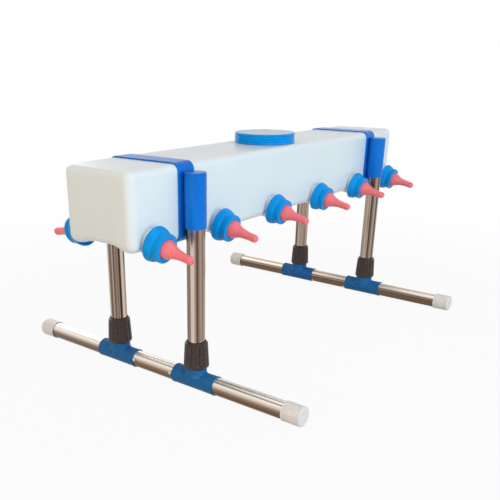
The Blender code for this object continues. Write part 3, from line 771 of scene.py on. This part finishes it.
def thread_outline(root, crest, low, high):
    """Two thread ridges between two heights, from the bottom up."""
    points = []
    pitch = (high - low) / 2
    for start in (low, low + pitch):
        points += [(root, start), (crest, start + 0.25 * pitch)]
        points += [(crest, start + 0.5 * pitch), (root, start + 0.75 * pitch)]
    return points


def cylinder_outline(radius, low, high):
    """The outline of a plain solid cylinder, from the top down."""
    return [(0, high), (radius, high), (radius, low), (0, low)]


necks = bmesh.new()
bores = bmesh.new()
neck_outline = rounded(
    [
        (0, -BOSS_REACH),
        (BOSS_RADIUS, -BOSS_REACH),
        (BOSS_RADIUS, -1.2 * MM, 0.8 * MM),
        (NECK_ROOT, -0.7 * MM, 0.8 * MM),
        *thread_outline(NECK_ROOT, NECK_RADIUS, 3 * MM, NECK_LENGTH - 3 * MM),
        (NECK_ROOT, NECK_LENGTH, 0.6 * MM),
        (0, NECK_LENGTH),
    ]
)
neck_bore = cylinder_outline(NECK_BORE, -BORE_REACH, BORE_REACH)
for hand in SIDES_Y.values():
    for number in range(1, TEATS_A_SIDE + 1):
        seat = teat_seat(hand, number)
        lathe(necks, neck_outline[::-1], NECK_COLUMNS, seat)
        lathe(bores, neck_bore, NECK_COLUMNS, seat)
thread_low = TANK_TOP + 3 * MM
thread_high = FILLER_NECK_TOP - 2 * MM
filler_outline = rounded(
    [
        (0, FILLER_FOOT),
        (FILLER_COLLAR_RADIUS, FILLER_FOOT),
        (FILLER_COLLAR_RADIUS, TANK_TOP - 1.0 * MM),
        (FILLER_NECK_ROOT, TANK_TOP + 0.8 * MM, 0.8 * MM),
        *thread_outline(FILLER_NECK_ROOT, FILLER_NECK_RADIUS, thread_low, thread_high),
        (FILLER_NECK_ROOT, FILLER_NECK_TOP, 0.8 * MM),
        (0, FILLER_NECK_TOP),
    ]
)
lathe(necks, filler_outline[::-1], TUBE_COLUMNS)
lathe(bores, cylinder_outline(FILLER_BORE, FILLER_FOOT, FILLER_BORE_END), TUBE_COLUMNS)
for shape in (necks, bores):
    bmesh.ops.recalc_face_normals(shape, faces=shape.faces)
rough_tank = rough_object(tank_block(0.0, OUTER_STEPS))
hollow = rough_object(tank_block(TANK_WALL, INNER_STEPS))
helpers = [rough_object(necks), hollow, rough_object(bores)]
for helper, operation in zip(helpers, ("UNION", "DIFFERENCE", "DIFFERENCE")):
    step = rough_tank.modifiers.new(operation.lower(), "BOOLEAN")
    step.operation = operation
    step.solver = "MANIFOLD"
    step.object = helper
tank_bm = evaluated_mesh(rough_tank)
for helper in helpers:
    bpy.data.objects.remove(helper, do_unlink=True)
tank = smooth_object("milky_tank", tank_bm, milky)
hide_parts("tank")
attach(tank, "tank_assembly")

# The teats and their screw caps: soft moulded pink rubber teats with a small hole in the tip.
# Each is clamped by its flange under a blue plastic cap that screws on the tank's neck.
# The cap has a wide skirt with fine grip ribs, a waist and a collar, and is open in front.
CAP_RIM = 29.8 * MM
CAP_SKIRT = 27.6 * MM
CAP_SKIRT_LENGTH = 10.5 * MM
CAP_WAIST = 23.4 * MM
CAP_WAIST_DEPTH = 14.5 * MM
CAP_COLLAR = 24.6 * MM
CAP_COLLAR_START = 16.9 * MM
CAP_FRONT = 25.9 * MM
CAP_INSIDE = 23.3 * MM
CAP_HOLE = 16.5 * MM
CAP_THREAD = 21.7 * MM
CAP_RIBS = 48
COLUMNS_A_CAP_RIB = 4
CAP_RIB_DEPTH = 0.35 * MM
CAP_RIB_START = 1.5 * MM
TEAT_BASE = 16.2 * MM
TEAT_REACH = 80.6 * MM
TEAT_TIP = 7.0 * MM
TEAT_TIP_STEPS = 8
TEAT_HOLE = 0.9 * MM
TEAT_WALL = 2.6 * MM
TEAT_COLUMNS = 64
FLANGE_RADIUS = 20.9 * MM
FLANGE_THICKNESS = 2.2 * MM

# The teat's radius in mm at shares of its way from the cap's front to the start of its round tip
TEAT_RUN = [(0.06, 16.1), (0.14, 14.6), (0.25, 12.0), (0.36, 9.8), (0.48, 8.4)]
TEAT_RUN += [(0.60, 7.7), (0.74, 7.1), (0.86, 6.9), (0.95, 7.0), (1.0, 7.0)]
TEAT_HOLLOW_POINTS = 7

cap_blue, tree, shader = new_look("cap_blue", (0.003, 0.30, 0.77), 0.26, Specular_IOR_Level=0.09)
swirl = noise(tree, 60.0, 4.0)
tint = ramp(tree, swirl, [(0.3, (0.002, 0.27, 0.72)), (0.7, (0.004, 0.33, 0.82))])
tree.links.new(tint, shader.inputs["Base Color"])
tree.links.new(ramp(tree, swirl, [(0.3, 0.17), (0.7, 0.28)]), shader.inputs["Roughness"])
dented(tree, shader, noise(tree, 1100.0, 2.0), 0.08, 0.0003)

teat_pink, tree, shader = new_look(
    "teat_pink",
    (0.98, 0.20, 0.225),
    0.34,
    Specular_IOR_Level=0.35,
    Subsurface_Weight=0.25,
    Subsurface_Radius=(0.010, 0.003, 0.002),
    Subsurface_Scale=0.5,
)
bloom = noise(tree, 70.0, 3.0)
tint = ramp(tree, bloom, [(0.3, (0.96, 0.18, 0.20)), (0.7, (1.0, 0.225, 0.25))])
tree.links.new(tint, shader.inputs["Base Color"])
tree.links.new(ramp(tree, bloom, [(0.3, 0.28), (0.7, 0.42)]), shader.inputs["Roughness"])
dented(tree, shader, noise(tree, 1400.0, 2.0), 0.06, 0.0003)


def finely_ribbed(angle, radius, height):
    """Cuts the fine grip ribs into the cap's skirt and collar."""
    if radius < CAP_COLLAR - 0.3 * MM or height < CAP_RIB_START:
        return radius
    fade = min((height - CAP_RIB_START) / (3 * MM), 1.0)
    return radius - CAP_RIB_DEPTH * fade * (0.5 - 0.5 * math.cos(CAP_RIBS * angle))


cap_outline = rounded(
    [
        (CAP_THREAD, CAP_INSIDE - 4 * MM),
        (CAP_THREAD, 5.0 * MM),
        (CAP_RIM - 2.6 * MM, 0.0, 0.5 * MM),
        (CAP_RIM, 0.0, 0.6 * MM),
        (CAP_RIM, 3.0 * MM, 1.2 * MM),
        (CAP_SKIRT, CAP_SKIRT_LENGTH, 1.6 * MM),
        (CAP_WAIST, CAP_WAIST_DEPTH, 1.2 * MM),
        (CAP_WAIST + 0.3 * MM, CAP_COLLAR_START, 0.4 * MM),
        (CAP_COLLAR, CAP_COLLAR_START + 0.3 * MM, 0.4 * MM),
        (CAP_COLLAR, CAP_FRONT, 1.8 * MM),
        (CAP_HOLE, CAP_FRONT - 0.2 * MM, 0.5 * MM),
        (CAP_HOLE, CAP_INSIDE),
        (CAP_THREAD, CAP_INSIDE),
        (CAP_THREAD, CAP_INSIDE - 4 * MM),
    ]
)
straight = TEAT_REACH - TEAT_TIP
teat_side = [(TEAT_BASE, CAP_FRONT - 1.3 * MM)]
for share, radius in TEAT_RUN:
    teat_side.append((radius * MM, CAP_FRONT + (straight - CAP_FRONT) * share))
for step in range(1, TEAT_TIP_STEPS):
    angle = math.radians(90 * step / TEAT_TIP_STEPS)
    teat_side.append((TEAT_TIP * math.cos(angle) ** 0.9, straight + TEAT_TIP * math.sin(angle)))
teat_inside = [(TEAT_HOLE, TEAT_REACH - 0.2 * MM, 0.3 * MM), (TEAT_HOLE, straight)]
for share, radius in reversed(TEAT_RUN[:TEAT_HOLLOW_POINTS]):
    teat_inside.append((radius * MM - TEAT_WALL, CAP_FRONT + (straight - CAP_FRONT) * share))
flange_low = NECK_LENGTH + SEAT_GAP
flange_high = flange_low + FLANGE_THICKNESS
teat_outline = rounded(
    [
        (TEAT_BASE, flange_high),
        *teat_side,
        *teat_inside,
        (TEAT_BASE - TEAT_WALL, flange_low),
        (FLANGE_RADIUS, flange_low),
        (FLANGE_RADIUS, flange_high),
        (TEAT_BASE, flange_high),
    ]
)
for row, hand in SIDES_Y.items():
    for number in range(1, TEATS_A_SIDE + 1):
        seat = teat_seat(hand, number)
        bm = bmesh.new()
        lathe(bm, cap_outline[::-1], COLUMNS_A_CAP_RIB * CAP_RIBS, seat, finely_ribbed)
        cap = smooth_object(f"blue_cap_{row}_{number}", bm, cap_blue)
        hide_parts(f"teat_cap_{row}_{number}")
        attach(cap, f"teat_cap_{row}_{number}")
        bm = bmesh.new()
        lathe(bm, teat_outline[::-1], TEAT_COLUMNS, seat)
        teat = smooth_object(f"pink_teat_{row}_{number}", bm, teat_pink)
        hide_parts(f"teat_{row}_{number}")
        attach(teat, f"teat_{row}_{number}")

# The filler's lid, of two loose pieces: a pale moulded plastic disc that lies on the neck's mouth,
# and the blue plastic ring with three turned grooves that screws down over the disc's rim.
DISC_RADIUS = 58.2 * MM
DISC_LOW = 417.4 * MM
DISC_RIM_TOP = 419.8 * MM
DISC_CENTRE = 55.4 * MM
RING_RADIUS = 62.1 * MM
RING_TOP = 421.8 * MM
RING_ROOF = 420.1 * MM
RING_LOW = 402.4 * MM
RING_WALL = 3.2 * MM
RING_GROOVES = 3
GROOVE_DEPTH = 1.4 * MM
GROOVE_HALF = 1.2 * MM
DISC_COLUMNS = 128
RING_COLUMNS = 160

disc_white, tree, shader = new_look(
    "disc_white",
    (0.60, 0.67, 0.73),
    0.4,
    Subsurface_Weight=0.15,
    Subsurface_Radius=(0.01, 0.01, 0.011),
)
haze = noise(tree, 30.0, 3.0)
tint = ramp(tree, haze, [(0.3, (0.50, 0.585, 0.65)), (0.7, (0.68, 0.75, 0.80))])
tree.links.new(tint, shader.inputs["Base Color"])
tree.links.new(ramp(tree, haze, [(0.3, 0.32), (0.7, 0.5)]), shader.inputs["Roughness"])
dented(tree, shader, noise(tree, 700.0, 2.0), 0.1, 0.0004)

disc_outline = rounded(
    [
        (0, RING_TOP - 1.3 * MM),
        (14 * MM, RING_TOP - 1.3 * MM, 0.5 * MM),
        (15 * MM, RING_TOP - 1.6 * MM, 0.5 * MM),
        (49 * MM, RING_TOP - 1.6 * MM, 0.8 * MM),
        (51.5 * MM, RING_TOP, 0.6 * MM),
        (DISC_CENTRE, RING_TOP, 0.5 * MM),
        (DISC_CENTRE, DISC_RIM_TOP),
        (DISC_RADIUS, DISC_RIM_TOP, 0.3 * MM),
        (DISC_RADIUS, DISC_LOW, 0.3 * MM),
        (0, DISC_LOW),
    ]
)
bm = bmesh.new()
lathe(bm, disc_outline, DISC_COLUMNS)
disc = smooth_object("pale_disc", bm, disc_white)
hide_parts("filler_disc")
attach(disc, "filler_disc")

ring_hole = DISC_CENTRE + 0.4 * MM
ring_inside = RING_RADIUS - RING_WALL
ring_start = (RING_RADIUS - 4 * MM, RING_ROOF)
ring_outline = [ring_start, (ring_hole, RING_ROOF), (ring_hole, RING_TOP, 0.4 * MM)]
ring_outline += [(RING_RADIUS, RING_TOP, 1.0 * MM)]
for groove in range(RING_GROOVES):
    middle = RING_TOP - (RING_TOP - RING_LOW) * (groove + 1) / (RING_GROOVES + 1)
    ring_outline += [(RING_RADIUS, middle + GROOVE_HALF, 0.3 * MM)]
    ring_outline += [(RING_RADIUS - GROOVE_DEPTH, middle, 0.3 * MM)]
    ring_outline += [(RING_RADIUS, middle - GROOVE_HALF, 0.3 * MM)]
ring_outline += [(RING_RADIUS, RING_LOW, 0.8 * MM), (ring_inside, RING_LOW, 0.4 * MM)]
ring_outline += [(ring_inside, RING_ROOF - 0.1 * MM), ring_start]
bm = bmesh.new()
lathe(bm, rounded(ring_outline), RING_COLUMNS)
ring = smooth_object("blue_ring", bm, cap_blue)
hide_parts("filler_ring")
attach(ring, "filler_ring")

# The studio: a large white floor under an even white sky, which stand in for a white backdrop.
# Both look white to the eye and in gloss, and light the feeder at a plain level.
# The floor is a little darker near the feeder, where its shadow falls.
FLOOR_REACH = 6.0
FLOOR_DROP = 0.4 * MM
FLOOR_GREY = (0.55, 0.55, 0.55)
NEAR_WHITE = 0.93
NEAR_REACH = 0.7
FAR_REACH = 1.5
WHITE = (1, 1, 1, 1)
SKY_COLOUR = (1.0, 0.985, 0.96, 1)
SKY_STRENGTH = 0.54


def mathematics(tree, operation, first, second):
    """A math node on two values."""
    made = tree.nodes.new("ShaderNodeMath")
    made.operation = operation
    tree.links.new(first, made.inputs[0])
    tree.links.new(second, made.inputs[1])
    return made.outputs[0]


def seen_or_mirrored(tree):
    """1 for what the eye sees directly, in gloss or through glass, and 0 for light."""
    path = tree.nodes.new("ShaderNodeLightPath").outputs
    either = mathematics(tree, "MAXIMUM", path["Is Camera Ray"], path["Is Glossy Ray"])
    return mathematics(tree, "MAXIMUM", either, path["Is Transmission Ray"])


def mixed_surface(tree, share, plain, white, output):
    """Shows the white surface by a share, and the plain one for the rest."""
    mix = tree.nodes.new("ShaderNodeMixShader")
    tree.links.new(share, mix.inputs["Fac"])
    tree.links.new(plain, mix.inputs[1])
    tree.links.new(white, mix.inputs[2])
    tree.links.new(mix.outputs["Shader"], tree.nodes[output].inputs["Surface"])


floor_look, tree, shader = new_look("white_floor", FLOOR_GREY, 0.9)
where = tree.nodes.new("ShaderNodeTexCoord")
distance = tree.nodes.new("ShaderNodeVectorMath")
distance.operation = "LENGTH"
tree.links.new(where.outputs["Object"], distance.inputs[0])
fade = tree.nodes.new("ShaderNodeMapRange")
fade.inputs["From Min"].default_value = NEAR_REACH
fade.inputs["From Max"].default_value = FAR_REACH
fade.inputs["To Min"].default_value = NEAR_WHITE
fade.inputs["To Max"].default_value = 1.0
tree.links.new(distance.outputs["Value"], fade.inputs["Value"])
share = mathematics(tree, "MULTIPLY", seen_or_mirrored(tree), fade.outputs["Result"])
glow = tree.nodes.new("ShaderNodeEmission")
glow.inputs["Color"].default_value = WHITE
glow.inputs["Strength"].default_value = 1.0
mixed_surface(tree, share, shader.outputs["BSDF"], glow.outputs["Emission"], "Material Output")

floor_mesh = bpy.data.meshes.new("floor")
quarters = [(-1, -1), (1, -1), (1, 1), (-1, 1)]
floor_corners = [(x * FLOOR_REACH, y * FLOOR_REACH, 0) for x, y in quarters]
floor_mesh.from_pydata(floor_corners, [], [(0, 1, 2, 3)])
floor_mesh.materials.append(floor_look)
floor = bpy.data.objects.new("studio_floor", floor_mesh)
bpy.context.scene.collection.objects.link(floor)
floor.location.z = -FLOOR_DROP

world = bpy.data.worlds.new("studio")
bpy.context.scene.world = world
world.use_nodes = True
tree = world.node_tree
sky = tree.nodes["Background"]
sky.inputs["Color"].default_value = SKY_COLOUR
sky.inputs["Strength"].default_value = SKY_STRENGTH
white = tree.nodes.new("ShaderNodeBackground")
white.inputs["Color"].default_value = WHITE
plain_sky, white_sky = sky.outputs["Background"], white.outputs["Background"]
mixed_surface(tree, seen_or_mirrored(tree), plain_sky, white_sky, "World Output")

# The lamps: four soft square panels round the feeder, all turned to its middle.
# The front one is cool and the left one warm, which tells the tank's long side from its end.
FEEDER_MIDDLE = Vector((0, 0, 0.25))


def lamp(name, place, size, watts, colour, glossy=True):
    """A square soft lamp. Without gloss it leaves no bright mark on shiny pieces."""
    light = bpy.data.lights.new(name, "AREA")
    light.size = size
    light.energy = watts
    light.color = colour
    made = bpy.data.objects.new(name, light)
    bpy.context.scene.collection.objects.link(made)
    made.location = place
    made.visible_glossy = glossy
    made.rotation_euler = (FEEDER_MIDDLE - Vector(place)).to_track_quat("-Z", "Y").to_euler()


lamp("front_lamp", (-0.5, -2.4, 0.9), 1.5, 33.0, (0.64, 0.86, 1.0), glossy=False)
lamp("left_lamp", (-2.4, -0.1, 0.6), 1.2, 11.5, (1.0, 0.74, 0.42), glossy=False)
lamp("glint_lamp", (-1.5, -1.7, 1.7), 0.35, 5.0, (1.0, 0.98, 0.95))
lamp("back_lamp", (0.6, 2.4, 1.0), 1.6, 14.0, (0.97, 0.98, 1.0))

# The camera stands where the photograph's stood, worked out from the tubes, legs and tank edges.
# The photograph is an off-centre crop of its picture, which the shift gives.
CAMERA_PLACE = (-1.17064, -0.76353, 0.54694)
CAMERA_AZIMUTH = -0.91265
CAMERA_ELEVATION = 0.39554
CAMERA_ROLL = 0.00379
FOCAL_PIXELS = 643.31
PICTURE_PIXELS = 500
SENSOR_MM = 36.0
PRINCIPAL_POINT = (210.0, 335.0)
level = math.cos(CAMERA_ELEVATION)
back = Vector(
    (
        math.sin(CAMERA_AZIMUTH) * level,
        -math.cos(CAMERA_AZIMUTH) * level,
        math.sin(CAMERA_ELEVATION),
    )
)
right = (-back).cross(Vector((0, 0, 1))).normalized()
up = right.cross(-back)
rolled_right = right * math.cos(CAMERA_ROLL) + up * math.sin(CAMERA_ROLL)
rolled_up = up * math.cos(CAMERA_ROLL) - right * math.sin(CAMERA_ROLL)
camera_data = bpy.data.cameras.new("photograph_camera")
camera_data.sensor_width = SENSOR_MM
camera_data.lens = FOCAL_PIXELS / PICTURE_PIXELS * SENSOR_MM
camera_data.shift_x = (PICTURE_PIXELS / 2 - PRINCIPAL_POINT[0]) / PICTURE_PIXELS
camera_data.shift_y = (PRINCIPAL_POINT[1] - PICTURE_PIXELS / 2) / PICTURE_PIXELS
camera_data.clip_start = 0.01
camera = bpy.data.objects.new("photograph_camera", camera_data)
bpy.context.scene.collection.objects.link(camera)
turn = Matrix((rolled_right, rolled_up, back)).transposed().to_4x4()
camera.matrix_world = Matrix.Translation(CAMERA_PLACE) @ turn
bpy.context.scene.camera = camera
bpy.context.scene.view_settings.view_transform = "Standard"
